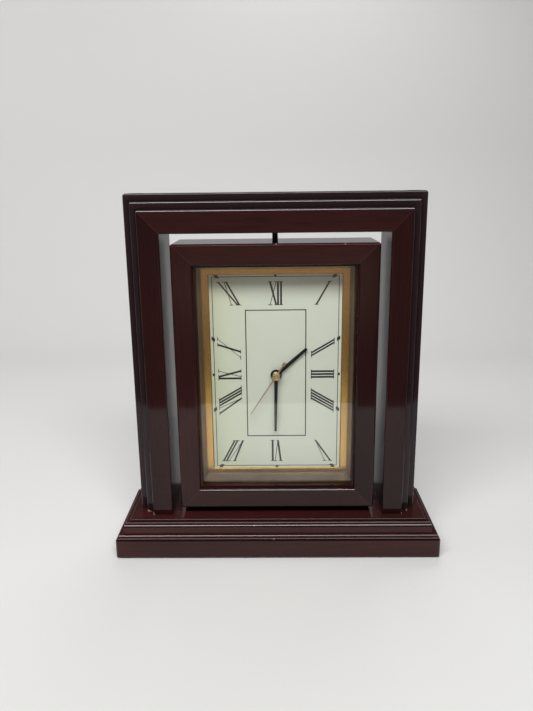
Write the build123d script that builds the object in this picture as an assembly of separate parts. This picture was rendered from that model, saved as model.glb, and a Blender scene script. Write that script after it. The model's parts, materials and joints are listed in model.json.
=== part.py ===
from build123d import *
import math
import os

# Base: felt sheet, slab and a two-tier step board
BASE_WIDTH = 240.0
BASE_DEPTH = 84.0
FELT_THICKNESS = 1.0
FELT_INSET = 3.0
SLAB_HEIGHT = 15.4
TIER_HEIGHTS = (7.95, 2.25)
TREAD_WIDTHS = (5.3, 5.25)
SIDE_TREADS = (5.3, 3.6)
SLAB_ROUND = 1.9
SLAB_CORNER = 1.2
SLAB_FOOT = 0.8
TIER_ROUND = 1.3

# Frame: two jambs and a lintel with the same two-step moulding on both faces
FRAME_SIDE_LEDGE = 5.95
FRAME_FRONT_LEDGE = 7.85
FRAME_HEIGHT = 237.7
JAMB_WIDTH = 25.7
LINTEL_HEIGHT = 27.1
FRAME_STEP_WIDTH = 5.25
FRAME_STEP_DEPTH = 5.4
FRAME_LEVELS = 3
TENON_SIZE = (12.0, 24.0)
FRAME_ROUND = 1.2
FRAME_CORNER = 1.4

# Pivots: pins fixed in the case turn in bushes fixed in the stand
PIN_RADIUS = 2.0
PIN_GRIP = 9.0
PIN_REACH = 8.5
COLLAR_RADIUS = 4.5
BUSH_RADIUS = 3.5
BUSH_LENGTH = 10.0
BUSH_PROUD = 0.8
RUNNING_CLEARANCE = 0.05

# Case: four mitred rails round the glass and the dial
CASE_SIDE_GAP = 6.8
CASE_TOP_GAP = 7.0
CASE_BOTTOM_GAP = 5.3
CASE_SETBACK = 0.5
RAIL_WIDTH = 15.0
RAIL_WALL = 10.0
LIP_STEP = 1.5
LIP_STEP_DEPTH = 4.0
LIP_DEPTH = 8.5
LIP_ROUND = 1.5
CASE_ROUND = 1.6
CASE_CORNER = 1.2
PANEL_REBATE_WALL = 4.0
PANEL_THICKNESS = 3.0
PANEL_RECESS = 1.0
PANEL_WINDOW_MARGIN = 2.0
SEAT_CLEARANCE = 0.3
BATTEN_WIDTH = 8.0
BATTEN_END_GAP = 12.0

# Glass, liner, bezel, dial and board, from the front to the back
GLASS_THICKNESS = 2.0
LINER_DEPTH = 9.5
LINER_SHOW_SIDE = 3.75
LINER_SHOW_END = 4.85
BEZEL_THICKNESS = 1.1
BEZEL_SHOW_SIDE = 5.35
BEZEL_SHOW_END = 4.05
BEZEL_BEVEL = 0.7
DIAL_THICKNESS = 0.8
BOARD_THICKNESS = 3.5
BOARD_COUNTERBORE_DEPTH = 2.2
BOARD_COUNTERBORE_RADIUS = 6.6

# Hands: angles clockwise from twelve, lengths from the centre
HOUR_ANGLE = 48.5
MINUTE_ANGLE = 181.0
SECOND_ANGLE = 213.0
HOUR_LENGTH = 30.5
HOUR_WIDTHS = (3.0, 2.2)
MINUTE_LENGTH = 44.0
MINUTE_WIDTHS = (2.8, 1.7)
SECOND_LENGTH = 35.5
SECOND_WIDTHS = (1.0, 0.6)
SECOND_TAIL = 12.4
SECOND_PADDLE_LENGTH = 3.0
SECOND_PADDLE_WIDTH = 2.4
HAND_EDGE = 0.3
HAND_RIDGE = 0.5
HAND_HUB_RADII = (4.25, 3.2, 3.4)
HAND_GAP = 1.0
DIAL_TO_HAND = 1.9
CAP_HEIGHT = 1.3

# Movement housing and battery bay
MOVEMENT_SIDE = 56.0
MOVEMENT_DEPTH = 16.0
MOVEMENT_CHAMFER = 1.5
HOUSING_WALL = 1.4
HOUSING_FACE = 1.2
COVER_THICKNESS = 1.5
BATTERY_RADIUS = 7.1
BATTERY_LENGTH = 49.2
NUB_RADIUS = 2.75
NUB_LENGTH = 1.3
BATTERY_CLEARANCE = 0.4
CONTACT_THICKNESS = 0.4
CONTACT_WIDTH = 8.0
CONTACT_TOUCH_GAP = 0.03

# Centre bush, nut and the nested pipes
BUSH_THREAD_RADIUS = 3.25
NUT_FLATS = 10.0
NUT_THICKNESS = 1.6
SECOND_ARBOR_RADIUS = 0.6
CANNON_WALL = 0.7
HOUR_WALL = 0.7
PIVOT_RADIUS = 0.4
PIVOT_DEPTH = 0.6

# Gear train: modules and tooth counts
MOTION_MODULE = 0.39
CANNON_TEETH = 10
MINUTE_WHEEL_TEETH = 30
MINUTE_PINION_TEETH = 8
HOUR_TEETH = 32
SETTING_TEETH = 14
THIRD_DISTANCE = 7.6
PINION_LEAVES = 6
THIRD_TEETH = 45
CENTRE_TEETH = 48
SECOND_TEETH = 30
SECOND_MODULE = 0.42
INTERMEDIATE_TEETH = 36
ROTOR_MODULE = 0.28
GEAR_THICKNESS = 0.9
LAYER_PITCH = 1.6
FIRST_LAYER_GAP = 0.6
ADDENDUM = 0.85
DEDENDUM = 1.3
TOOTH_FILL = 0.8
TIP_SHARE = 0.45
ROOT_SHARE = 1.2
POST_RADIUS = 0.8
KNOB_RADIUS = 5.0
KNOB_HEIGHT = 3.2
KNOB_RIBS = 16
KNOB_GROOVE = 0.6
KNOB_SHAFT_RADIUS = 1.1
KNOB_GAP = 0.3

# Motor and electronics
MAGNET_RADIUS = 2.6
MAGNET_LENGTH = 2.6
STATOR_HOLE_RADIUS = 3.1
STATOR_THICKNESS = 0.7
STATOR_HALF_WIDTH = 15.0
STATOR_ARM = 4.0
STATOR_RIM = 1.6
CORE_SIDE = 3.2
COIL_RADIUS = 3.6
COIL_LENGTH = 20.0
BOBBIN_FLANGE = 0.8
BOBBIN_FLANGE_SIDE = 8.4
BOARD_SIZE = (9.0, 18.0)
BOARD_SHEET = 0.8
CHIP_SIDE = 4.5
CHIP_HEIGHT = 0.9
CRYSTAL_RADIUS = 1.0
CRYSTAL_LENGTH = 6.0

# Frame's outline on the top tier
FRAME_WIDTH = BASE_WIDTH - 2 * (sum(SIDE_TREADS) + FRAME_SIDE_LEDGE)
FRAME_DEPTH = BASE_DEPTH - 2 * (sum(TREAD_WIDTHS) + FRAME_FRONT_LEDGE)

# Heights
SLAB_BOTTOM = FELT_THICKNESS
SLAB_TOP = SLAB_BOTTOM + SLAB_HEIGHT
BASE_TOP = SLAB_TOP + sum(TIER_HEIGHTS)
FRAME_TOP = BASE_TOP + FRAME_HEIGHT
OPENING_TOP = FRAME_TOP - LINTEL_HEIGHT
OPENING_WIDTH = FRAME_WIDTH - 2 * JAMB_WIDTH
CASE_BOTTOM = BASE_TOP + CASE_BOTTOM_GAP
CASE_TOP = OPENING_TOP - CASE_TOP_GAP
CASE_WIDTH = OPENING_WIDTH - 2 * CASE_SIDE_GAP
CASE_HEIGHT = CASE_TOP - CASE_BOTTOM
CASE_DEPTH = FRAME_DEPTH - 2 * CASE_SETBACK
CENTRE_Z = (CASE_TOP + CASE_BOTTOM) / 2

# Depths, from the front of the case to the back
CASE_FRONT = -CASE_DEPTH / 2
CASE_BACK = CASE_DEPTH / 2
GLASS_FRONT = CASE_FRONT + LIP_DEPTH
LINER_FRONT = GLASS_FRONT + GLASS_THICKNESS
BEZEL_FRONT = LINER_FRONT + LINER_DEPTH
DIAL_FRONT = BEZEL_FRONT + BEZEL_THICKNESS
BOARD_FRONT = DIAL_FRONT + DIAL_THICKNESS
MOVEMENT_FRONT = BOARD_FRONT + BOARD_THICKNESS
MOVEMENT_BACK = MOVEMENT_FRONT + MOVEMENT_DEPTH
HOUSING_INSIDE = MOVEMENT_FRONT + HOUSING_FACE
COVER_FRONT = MOVEMENT_BACK - COVER_THICKNESS
PANEL_BACK = CASE_BACK - PANEL_RECESS
PANEL_FRONT = PANEL_BACK - PANEL_THICKNESS

# Openings of the case, the liner and the bezel, as (width, height)
RABBET_SIZE = (CASE_WIDTH - 2 * RAIL_WALL, CASE_HEIGHT - 2 * RAIL_WALL)
SHEET_SIZE = tuple(side - 2 * SEAT_CLEARANCE for side in RABBET_SIZE)
CASE_OPENING = (CASE_WIDTH - 2 * RAIL_WIDTH, CASE_HEIGHT - 2 * RAIL_WIDTH)
LIP_OPENING = tuple(side - 2 * LIP_STEP for side in CASE_OPENING)
LINER_OPENING = (CASE_OPENING[0] - 2 * LINER_SHOW_SIDE, CASE_OPENING[1] - 2 * LINER_SHOW_END)
BEZEL_OPENING = (LINER_OPENING[0] - 2 * BEZEL_SHOW_SIDE, LINER_OPENING[1] - 2 * BEZEL_SHOW_END)
PANEL_SIZE = tuple(
    side - 2 * (PANEL_REBATE_WALL + SEAT_CLEARANCE) for side in (CASE_WIDTH, CASE_HEIGHT)
)
PANEL_WINDOW = MOVEMENT_SIDE + 2 * PANEL_WINDOW_MARGIN

# Radii of the nested pipes, from the second hand's arbor outwards
CANNON_BORE = SECOND_ARBOR_RADIUS + RUNNING_CLEARANCE
CANNON_RADIUS = CANNON_BORE + CANNON_WALL
HOUR_BORE = CANNON_RADIUS + RUNNING_CLEARANCE
HOUR_RADIUS = HOUR_BORE + HOUR_WALL
CENTRE_BUSH_BORE = HOUR_RADIUS + RUNNING_CLEARANCE

# Front faces of the hands, and the gear layers from the dial side to the back
HOUR_HAND_BACK = DIAL_FRONT - DIAL_TO_HAND
MINUTE_HAND_BACK = HOUR_HAND_BACK - HAND_RIDGE - HAND_GAP
SECOND_HAND_BACK = MINUTE_HAND_BACK - HAND_RIDGE - HAND_GAP
HOUR_LAYER, CANNON_LAYER, CENTRE_LAYER, THIRD_LAYER, SECOND_LAYER, ROTOR_LAYER = (
    HOUSING_INSIDE + FIRST_LAYER_GAP + layer * LAYER_PITCH for layer in range(6)
)

# Gear centres in (x, z) from the centre arbor
THIRD_MODULE = 2 * THIRD_DISTANCE / (PINION_LEAVES + THIRD_TEETH)
CENTRE_MODULE = 2 * THIRD_DISTANCE / (PINION_LEAVES + CENTRE_TEETH)
MINUTE_DISTANCE = MOTION_MODULE * (CANNON_TEETH + MINUTE_WHEEL_TEETH) / 2
SETTING_DISTANCE = MINUTE_DISTANCE + MOTION_MODULE * (MINUTE_WHEEL_TEETH + SETTING_TEETH) / 2
INTERMEDIATE_DISTANCE = SECOND_MODULE * (PINION_LEAVES + SECOND_TEETH) / 2
ROTOR_DISTANCE = INTERMEDIATE_DISTANCE + ROTOR_MODULE * (PINION_LEAVES + INTERMEDIATE_TEETH) / 2
CENTRE = (0.0, CENTRE_Z)
THIRD = (-THIRD_DISTANCE, CENTRE_Z)
MINUTE = (MINUTE_DISTANCE, CENTRE_Z)
SETTING = (SETTING_DISTANCE, CENTRE_Z)
INTERMEDIATE = (0.0, CENTRE_Z + INTERMEDIATE_DISTANCE)
ROTOR = (0.0, CENTRE_Z + ROTOR_DISTANCE)

# Battery bay at the bottom of the housing
BAY_HEIGHT = 2 * (BATTERY_RADIUS + BATTERY_CLEARANCE)
BAY_BOTTOM = CENTRE_Z - MOVEMENT_SIDE / 2 + HOUSING_WALL
BAY_TOP = BAY_BOTTOM + BAY_HEIGHT
BATTERY_Z = BAY_BOTTOM + BAY_HEIGHT / 2
BATTERY_Y = HOUSING_INSIDE + BATTERY_CLEARANCE + BATTERY_RADIUS
BAY_HALF_LENGTH = MOVEMENT_SIDE / 2 - HOUSING_WALL
BATTERY_HALF = (BATTERY_LENGTH + NUB_LENGTH) / 2


def prism(outline, front, back):
    """Solid with an (x, z) outline, from one depth to another."""
    return extrude(Plane.XZ.offset(-front) * outline, front - back)


def rod(place, radius, front, back):
    """Round rod along the depth at an (x, z) place."""
    return prism(Pos(*place) * Circle(radius), front, back)


def tube(place, radius, bore, front, back):
    return prism(Pos(*place) * (Circle(radius) - Circle(bore)), front, back)


def post(radius, low, high, place=(0, 0)):
    """Round upright rod at an (x, y) place."""
    return Pos(*place, low) * extrude(Circle(radius), high - low)


def sheet(size, front, back):
    """Flat rectangle centred on the dial."""
    return prism(Pos(*CENTRE) * Rectangle(*size), front, back)


def corner_cut(x, z, size, front, back):
    """Wedge that takes the point off an outer corner, whose two sides run towards the middle."""
    to_x = x - math.copysign(size, x)
    to_z = z - math.copysign(size, z - CENTRE_Z)
    return prism(make_face(Polyline((x, z), (to_x, z), (x, to_z), close=True)), front, back)


# Base
def make_base_felt():
    face = Rectangle(BASE_WIDTH - 2 * FELT_INSET, BASE_DEPTH - 2 * FELT_INSET)
    return extrude(face, FELT_THICKNESS)


def make_tenon(side):
    """Tenon of a jamb, through the step board down to the slab."""
    x = side * (FRAME_WIDTH - JAMB_WIDTH) / 2
    return Pos(x, 0, SLAB_TOP) * extrude(Rectangle(*TENON_SIZE), BASE_TOP - SLAB_TOP)


def make_base_slab():
    outline = chamfer(Rectangle(BASE_WIDTH, BASE_DEPTH).vertices(), SLAB_CORNER)
    slab = Pos(0, 0, SLAB_BOTTOM) * extrude(Rectangle(BASE_WIDTH, BASE_DEPTH), SLAB_HEIGHT)
    slab = fillet(slab.faces().sort_by(Axis.Z)[-1].edges(), SLAB_ROUND)
    slab = chamfer(slab.faces().sort_by(Axis.Z)[0].edges(), SLAB_FOOT)
    return slab & Pos(0, 0, SLAB_BOTTOM) * extrude(outline, SLAB_HEIGHT)


def make_base_step():
    board = Part()
    bottom = SLAB_TOP
    front_inset = 0.0
    side_inset = 0.0
    for height, front_tread, side_tread in zip(TIER_HEIGHTS, TREAD_WIDTHS, SIDE_TREADS):
        front_inset += front_tread
        side_inset += side_tread
        face = Rectangle(BASE_WIDTH - 2 * side_inset, BASE_DEPTH - 2 * front_inset)
        tier = Pos(0, 0, bottom) * extrude(face, height)
        board += fillet(tier.faces().sort_by(Axis.Z)[-1].edges(), TIER_ROUND)
        bottom += height
    board -= post(BUSH_RADIUS, BASE_TOP - BUSH_LENGTH, BASE_TOP)
    return board - make_tenon(-1) - make_tenon(1)


# Frame
def moulding_outline(width):
    """Section of a frame member: across from the outer edge, along the depth."""
    step = FRAME_STEP_WIDTH * width / JAMB_WIDTH
    half = FRAME_DEPTH / 2
    front = [
        (0, half - 2 * FRAME_STEP_DEPTH),
        (step, half - 2 * FRAME_STEP_DEPTH),
        (step, half - FRAME_STEP_DEPTH),
        (2 * step, half - FRAME_STEP_DEPTH),
        (2 * step, half),
        (width, half),
    ]
    back = [(across, -depth) for across, depth in reversed(front)]
    face = make_face(Polyline(*front, *back, close=True))
    noses = [front[0], front[2], front[4], front[5], back[0], back[1], back[3], back[5]]
    corners = [v for v in face.vertices() if any(hypot_to(v, nose) < FRAME_ROUND / 2 for nose in noses)]
    return fillet(corners, FRAME_ROUND)


def hypot_to(vertex, point):
    return math.hypot(vertex.X - point[0], vertex.Y - point[1])


def frame_corner_cuts():
    """Wedges that take the points off the steps' top corners, on both faces."""
    cuts = Part()
    rise = FRAME_STEP_WIDTH * LINTEL_HEIGHT / JAMB_WIDTH
    shallow = 0.0
    for level in range(FRAME_LEVELS):
        deep = FRAME_DEPTH / 2 - (FRAME_LEVELS - 1 - level) * FRAME_STEP_DEPTH
        x = FRAME_WIDTH / 2 - level * FRAME_STEP_WIDTH
        z = FRAME_TOP - level * rise
        for side in (-1, 1):
            cuts += corner_cut(side * x, z, FRAME_CORNER, -deep, -shallow)
            cuts += corner_cut(side * x, z, FRAME_CORNER, shallow, deep)
        shallow = deep
    return cuts


def make_jamb(side):
    """Jamb at the left (side -1) or the right (side 1), mitred at the top."""
    outline = Pos(-FRAME_WIDTH / 2, 0) * moulding_outline(JAMB_WIDTH)
    bar = Pos(0, 0, BASE_TOP) * extrude(outline, FRAME_HEIGHT)
    outer = -FRAME_WIDTH / 2
    inner = outer + JAMB_WIDTH
    mitre = Polyline(
        (outer, BASE_TOP), (inner, BASE_TOP), (inner, OPENING_TOP), (outer, FRAME_TOP), close=True
    )
    bar &= prism(make_face(mitre), -FRAME_DEPTH, FRAME_DEPTH)
    if side > 0:
        bar = mirror(bar, Plane.YZ)
    return bar - frame_corner_cuts() + make_tenon(side)


def make_lintel():
    outline = moulding_outline(LINTEL_HEIGHT)
    section = Plane((-FRAME_WIDTH / 2, 0, FRAME_TOP), x_dir=(0, 0, -1), z_dir=(1, 0, 0)) * outline
    bar = extrude(section, FRAME_WIDTH)
    outer = FRAME_WIDTH / 2
    inner = outer - JAMB_WIDTH
    mitre = Polyline(
        (-outer, FRAME_TOP), (outer, FRAME_TOP), (inner, OPENING_TOP), (-inner, OPENING_TOP), close=True
    )
    bar &= prism(make_face(mitre), -FRAME_DEPTH, FRAME_DEPTH)
    return bar - frame_corner_cuts() - post(BUSH_RADIUS, OPENING_TOP, OPENING_TOP + BUSH_LENGTH)


# Pivots
def make_lower_bush():
    bottom = BASE_TOP - BUSH_LENGTH
    top = BASE_TOP + BUSH_PROUD
    return post(BUSH_RADIUS, bottom, top) - post(PIN_RADIUS + RUNNING_CLEARANCE, bottom, top)


def make_upper_bush():
    bush = post(BUSH_RADIUS, OPENING_TOP, OPENING_TOP + BUSH_LENGTH)
    return bush - post(PIN_RADIUS + RUNNING_CLEARANCE, OPENING_TOP, OPENING_TOP + BUSH_LENGTH)


def make_lower_pin():
    """Pin with a six-sided collar that rests on the bush and carries the case."""
    seat = BASE_TOP + BUSH_PROUD
    pin = post(PIN_RADIUS, seat - PIN_REACH, CASE_BOTTOM + PIN_GRIP)
    return pin + Pos(0, 0, seat) * extrude(RegularPolygon(COLLAR_RADIUS, 6), CASE_BOTTOM - seat)


def make_upper_pin():
    return post(PIN_RADIUS, CASE_TOP - PIN_GRIP, OPENING_TOP + PIN_REACH)


# Case
def rail_outline():
    """Section of a rail: across from the outer face, along the depth."""
    points = [
        (0, CASE_FRONT),
        (RAIL_WIDTH, CASE_FRONT),
        (RAIL_WIDTH, CASE_FRONT + LIP_STEP_DEPTH),
        (RAIL_WIDTH + LIP_STEP, CASE_FRONT + LIP_STEP_DEPTH),
        (RAIL_WIDTH + LIP_STEP, GLASS_FRONT),
        (RAIL_WALL, GLASS_FRONT),
        (RAIL_WALL, PANEL_FRONT),
        (PANEL_REBATE_WALL, PANEL_FRONT),
        (PANEL_REBATE_WALL, CASE_BACK),
        (0, CASE_BACK),
    ]
    face = make_face(Polyline(*points, close=True))
    for point, radius in ((points[0], CASE_ROUND), (points[1], LIP_ROUND), (points[9], CASE_ROUND)):
        corner = [v for v in face.vertices() if hypot_to(v, point) < CASE_ROUND / 2]
        face = fillet(corner, radius)
    return face


def case_corner_cuts():
    cuts = Part()
    for side in (-1, 1):
        for z in (CASE_BOTTOM, CASE_TOP):
            cuts += corner_cut(side * CASE_WIDTH / 2, z, CASE_CORNER, CASE_FRONT, CASE_BACK)
    return cuts


def make_stile(side):
    outline = Pos(-CASE_WIDTH / 2, 0) * rail_outline()
    bar = Pos(0, 0, CASE_BOTTOM) * extrude(outline, CASE_HEIGHT)
    outer = -CASE_WIDTH / 2
    inner = outer + CASE_WIDTH / 2
    mitre = Polyline(
        (outer, CASE_BOTTOM), (inner, CASE_BOTTOM + CASE_WIDTH / 2),
        (inner, CASE_TOP - CASE_WIDTH / 2), (outer, CASE_TOP), close=True,
    )
    bar &= prism(make_face(mitre), CASE_FRONT, CASE_BACK)
    if side > 0:
        bar = mirror(bar, Plane.YZ)
    return bar - case_corner_cuts()


def make_rail(side):
    """Rail at the bottom (side -1) or the top (side 1)."""
    outline = rail_outline()
    section = Plane((-CASE_WIDTH / 2, 0, CASE_TOP), x_dir=(0, 0, -1), z_dir=(1, 0, 0)) * outline
    bar = extrude(section, CASE_WIDTH)
    half = CASE_WIDTH / 2
    mitre = Polyline((-half, CASE_TOP), (half, CASE_TOP), (0, CASE_TOP - half), close=True)
    bar &= prism(make_face(mitre), CASE_FRONT, CASE_BACK)
    bar -= make_upper_pin()
    if side < 0:
        bar = mirror(bar, Plane.XY.offset(CENTRE_Z))
    return bar - case_corner_cuts()


def make_glass():
    return sheet(SHEET_SIZE, GLASS_FRONT, LINER_FRONT)


def make_liner_ring():
    """Splayed surround between the glass and the bezel."""
    block = sheet(SHEET_SIZE, LINER_FRONT, BEZEL_FRONT)
    front = Plane.XZ.offset(-LINER_FRONT) * Pos(*CENTRE) * Rectangle(*LIP_OPENING)
    back = Plane.XZ.offset(-BEZEL_FRONT) * Pos(*CENTRE) * Rectangle(*LINER_OPENING)
    return block - loft([front, back])


def make_liner(name):
    """One of the liner's four mitred strips."""
    width, height = (side / 2 for side in SHEET_SIZE)
    triangles = {
        "left": ((-width, -height), (0, width - height), (0, height - width), (-width, height)),
        "right": ((width, -height), (0, width - height), (0, height - width), (width, height)),
        "top": ((-width, height), (0, height - width), (width, height)),
        "bottom": ((-width, -height), (0, width - height), (width, -height)),
    }
    mitre = Pos(*CENTRE) * make_face(Polyline(*triangles[name], close=True))
    return make_liner_ring() & prism(mitre, LINER_FRONT, BEZEL_FRONT)


def make_bezel():
    plate = sheet(SHEET_SIZE, BEZEL_FRONT, DIAL_FRONT) - sheet(BEZEL_OPENING, BEZEL_FRONT, DIAL_FRONT)
    front = plate.faces().sort_by(Axis.Y)[0]
    return chamfer(front.inner_wires()[0].edges(), BEZEL_BEVEL)


def make_dial():
    hole = rod(CENTRE, CENTRE_BUSH_BORE, DIAL_FRONT, BOARD_FRONT)
    return sheet(SHEET_SIZE, DIAL_FRONT, BOARD_FRONT) - hole


def make_dial_board():
    board = sheet(SHEET_SIZE, BOARD_FRONT, MOVEMENT_FRONT)
    pocket = rod(CENTRE, BOARD_COUNTERBORE_RADIUS, BOARD_FRONT, BOARD_FRONT + BOARD_COUNTERBORE_DEPTH)
    return board - pocket - rod(CENTRE, BUSH_THREAD_RADIUS, BOARD_FRONT, MOVEMENT_FRONT)


def make_batten(side):
    """Spacer between the dial board and the back panel, against a stile."""
    x = side * (RABBET_SIZE[0] / 2 - BATTEN_WIDTH / 2)
    outline = Pos(x, CENTRE_Z) * Rectangle(BATTEN_WIDTH, RABBET_SIZE[1] - 2 * BATTEN_END_GAP)
    return prism(outline, MOVEMENT_FRONT, PANEL_FRONT)


def make_back_panel():
    panel = sheet(PANEL_SIZE, PANEL_FRONT, PANEL_BACK)
    window = sheet((PANEL_WINDOW, PANEL_WINDOW), PANEL_FRONT, PANEL_BACK)
    return panel - window


# Gears
def gear_outline(teeth, module, phase):
    """Outline with flat-sided teeth."""
    pitch = module * teeth / 2
    half = TOOTH_FILL * math.pi / teeth / 2
    root = pitch - DEDENDUM * module
    tip = pitch + ADDENDUM * module
    steps = [(root, -half * ROOT_SHARE), (tip, -half * TIP_SHARE)]
    steps += [(radius, -angle) for radius, angle in reversed(steps)]
    points = []
    for tooth in range(teeth):
        middle = phase + 2 * math.pi * tooth / teeth
        points += [
            (radius * math.cos(middle + angle), radius * math.sin(middle + angle))
            for radius, angle in steps
        ]
    return make_face(Polyline(*points, close=True))


def mesh_phase(direction, teeth, phase, other_teeth):
    """Phase of a gear that meshes with another one lying in a direction from it."""
    share = (direction - phase) * teeth / (2 * math.pi)
    return direction + math.pi - 2 * math.pi / other_teeth * (0.5 - share)


def gear(place, teeth, module, front, phase=0.0, length=GEAR_THICKNESS):
    outline = Pos(*place) * gear_outline(teeth, module, phase)
    return prism(outline, front, front + length)


def pinion(place, module, front, teeth=PINION_LEAVES):
    """Pinion that reaches back to the wheel on the next layer."""
    return gear(place, teeth, module, front, length=LAYER_PITCH)


RIGHT = 0.0
UP = math.pi / 2
LEFT = math.pi
MINUTE_PHASE = mesh_phase(RIGHT, CANNON_TEETH, 0.0, MINUTE_WHEEL_TEETH)
SETTING_PHASE = mesh_phase(RIGHT, MINUTE_WHEEL_TEETH, MINUTE_PHASE, SETTING_TEETH)
HOUR_PHASE = mesh_phase(LEFT, MINUTE_PINION_TEETH, 0.0, HOUR_TEETH)
THIRD_PHASE = mesh_phase(LEFT, PINION_LEAVES, 0.0, THIRD_TEETH)
CENTRE_PHASE = mesh_phase(RIGHT, PINION_LEAVES, 0.0, CENTRE_TEETH)
SECOND_PHASE = mesh_phase(-UP, PINION_LEAVES, 0.0, SECOND_TEETH)
INTERMEDIATE_PHASE = mesh_phase(-UP, PINION_LEAVES, 0.0, INTERMEDIATE_TEETH)
FRONT_PIVOT = HOUSING_INSIDE - PIVOT_DEPTH
BACK_PIVOT = COVER_FRONT + PIVOT_DEPTH


def pivot_pocket(place, front, back):
    """Square pocket that a round pivot turns in."""
    side = 2 * (PIVOT_RADIUS + RUNNING_CLEARANCE)
    return prism(Pos(*place) * Rectangle(side, side), front, back)


def front_pivot(place, back):
    return rod(place, PIVOT_RADIUS, FRONT_PIVOT, back)


def back_pivot(place, front):
    return rod(place, PIVOT_RADIUS, front, BACK_PIVOT)


def make_second_wheel():
    wheel = gear(CENTRE, SECOND_TEETH, SECOND_MODULE, SECOND_LAYER, SECOND_PHASE)
    wheel += pinion(CENTRE, THIRD_MODULE, THIRD_LAYER)
    wheel += rod(CENTRE, SECOND_ARBOR_RADIUS, SECOND_HAND_BACK, THIRD_LAYER)
    return wheel + back_pivot(CENTRE, SECOND_LAYER + GEAR_THICKNESS)


def make_intermediate_wheel():
    wheel = gear(INTERMEDIATE, INTERMEDIATE_TEETH, ROTOR_MODULE, ROTOR_LAYER, INTERMEDIATE_PHASE)
    wheel += pinion(INTERMEDIATE, SECOND_MODULE, SECOND_LAYER)
    wheel += front_pivot(INTERMEDIATE, SECOND_LAYER)
    return wheel + back_pivot(INTERMEDIATE, ROTOR_LAYER + GEAR_THICKNESS)


def make_third_wheel():
    wheel = gear(THIRD, THIRD_TEETH, THIRD_MODULE, THIRD_LAYER, THIRD_PHASE)
    wheel += pinion(THIRD, CENTRE_MODULE, CENTRE_LAYER)
    wheel += front_pivot(THIRD, CENTRE_LAYER)
    return wheel + back_pivot(THIRD, THIRD_LAYER + GEAR_THICKNESS)


def make_centre_wheel():
    wheel = gear(CENTRE, CENTRE_TEETH, CENTRE_MODULE, CENTRE_LAYER, CENTRE_PHASE)
    return wheel - rod(
        CENTRE, CANNON_RADIUS + RUNNING_CLEARANCE, CENTRE_LAYER, CENTRE_LAYER + GEAR_THICKNESS
    )


def make_cannon_pinion():
    """Pipe of the minute hand with the pinion that drives the motion work."""
    back = CENTRE_LAYER + GEAR_THICKNESS
    pipe = rod(CENTRE, CANNON_RADIUS, MINUTE_HAND_BACK, back)
    pipe += gear(CENTRE, CANNON_TEETH, MOTION_MODULE, CANNON_LAYER)
    return pipe - rod(CENTRE, CANNON_BORE, MINUTE_HAND_BACK, back)


def make_clutch_washer():
    """Spring washer that presses the centre wheel's drive on to the cannon pinion."""
    return tube(
        CENTRE, CANNON_RADIUS + GEAR_THICKNESS, CANNON_RADIUS,
        CANNON_LAYER + GEAR_THICKNESS, CENTRE_LAYER - 2 * RUNNING_CLEARANCE,
    )


def make_hour_wheel():
    back = HOUR_LAYER + GEAR_THICKNESS
    wheel = gear(CENTRE, HOUR_TEETH, MOTION_MODULE, HOUR_LAYER, HOUR_PHASE)
    wheel += rod(CENTRE, HOUR_RADIUS, HOUR_HAND_BACK, back)
    return wheel - rod(CENTRE, HOUR_BORE, HOUR_HAND_BACK, back)


def make_minute_wheel():
    wheel = gear(MINUTE, MINUTE_WHEEL_TEETH, MOTION_MODULE, CANNON_LAYER, MINUTE_PHASE)
    wheel += pinion(MINUTE, MOTION_MODULE, HOUR_LAYER, MINUTE_PINION_TEETH)
    return wheel - rod(MINUTE, POST_RADIUS + RUNNING_CLEARANCE, HOUR_LAYER, CANNON_LAYER + GEAR_THICKNESS)


def make_setting_wheel():
    wheel = gear(SETTING, SETTING_TEETH, MOTION_MODULE, CANNON_LAYER, SETTING_PHASE)
    back = MOVEMENT_BACK + KNOB_GAP
    return wheel + rod(SETTING, KNOB_SHAFT_RADIUS, CANNON_LAYER + GEAR_THICKNESS, back)


def make_setting_knob():
    """Knob with V-shaped grip grooves."""
    front = MOVEMENT_BACK + KNOB_GAP
    points = []
    for corner in range(3 * KNOB_RIBS):
        angle = 2 * math.pi * corner / (3 * KNOB_RIBS)
        radius = KNOB_RADIUS - (0 if corner % 3 else KNOB_GROOVE)
        points.append((SETTING[0] + radius * math.cos(angle), SETTING[1] + radius * math.sin(angle)))
    return prism(make_face(Polyline(*points, close=True)), front, front + KNOB_HEIGHT)


def make_rotor():
    rotor = gear(ROTOR, PINION_LEAVES, ROTOR_MODULE, ROTOR_LAYER)
    rotor += front_pivot(ROTOR, ROTOR_LAYER)
    return rotor + back_pivot(ROTOR, ROTOR_LAYER + GEAR_THICKNESS)


def magnet_front():
    return SECOND_LAYER + GEAR_THICKNESS - MAGNET_LENGTH


def make_rotor_magnet():
    front = magnet_front()
    return tube(ROTOR, MAGNET_RADIUS, PIVOT_RADIUS, front, front + MAGNET_LENGTH)


# Hands
def make_hand(angle, length, widths, hub_radius, bore, back):
    """Ridged blade that narrows from its hub to a square tip, turned clockwise from twelve."""
    sections = []
    for reach, width in zip((0.0, length), widths):
        half = width / 2
        section = make_face(Polyline(
            (-half, 0), (half, 0), (half, HAND_EDGE), (0, HAND_RIDGE), (-half, HAND_EDGE), close=True
        ))
        sections.append(Plane((0, 0, reach), x_dir=(1, 0, 0), z_dir=(0, 0, 1)) * mirror(section, Plane.XZ))
    blade = Rot(0, angle, 0) * loft(sections)
    hand = Pos(0, back, CENTRE_Z) * blade
    hand += rod(CENTRE, hub_radius, back - HAND_RIDGE, back)
    return hand - rod(CENTRE, bore, back - HAND_RIDGE, back)


def make_hour_hand():
    return make_hand(HOUR_ANGLE, HOUR_LENGTH, HOUR_WIDTHS, HAND_HUB_RADII[0], HOUR_BORE, HOUR_HAND_BACK)


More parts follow.
